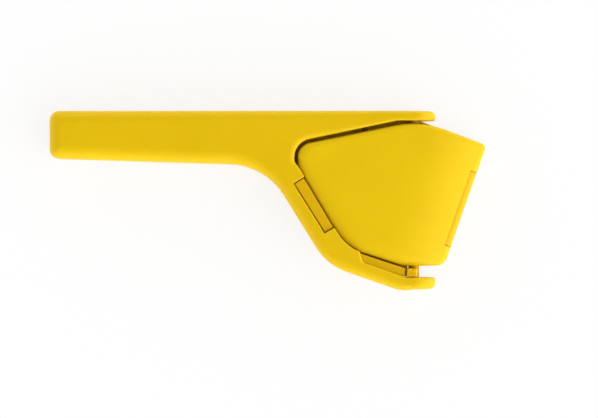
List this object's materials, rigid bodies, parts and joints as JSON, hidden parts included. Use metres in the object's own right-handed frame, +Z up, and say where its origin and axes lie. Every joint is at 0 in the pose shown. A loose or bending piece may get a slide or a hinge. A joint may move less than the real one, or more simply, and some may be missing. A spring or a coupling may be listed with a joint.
{
  "type": "hinged lemon squeezer",
  "caption": "Flat-folding hand squeezer: two long hinged handles with a slanted head that presses half a lemon between a press plate and a strainer tray.",
  "frame": {"origin": "on the table, under the middle of the folded tool's box", "axes": "+X from the grip end towards the hinge end, +Y across the head towards the straight edge, +Z up out of the front"},
  "size_m": [0.24, 0.0986, 0.024],
  "materials": {
    "nylon": "satin moulded nylon",
    "steel": "ground",
    "dark_steel": "blackened"
  },
  "bodies": {
    "back_handle": {"back_handle": "nylon", "strainer_plate": "nylon", "upper_hinge_pin": "steel", "lower_hinge_pin": "steel", "plate_hinge_pin": "steel"},
    "front_handle": {"front_handle": "nylon"},
    "press_plate": {"press_plate": "nylon", "drive_pin": "dark_steel"}
  },
  "joints": [
    {"name": "handle_hinge", "type": "hinge", "parent": "back_handle", "child": "front_handle", "pos_m": [0.0804, 0, 0.012], "axis": [0, 1, 0], "range_deg": [0, 50]},
    {"name": "plate_hinge", "type": "hinge", "parent": "back_handle", "child": "press_plate", "pos_m": [0.10551, 0.00149, 0.012], "axis": [0.3305, 0.9438, 0], "range_deg": [0, 23]}
  ],
  "couplings": [
    {"joint": "plate_hinge", "follows": "handle_hinge", "ratio": 0.46}
  ]
}
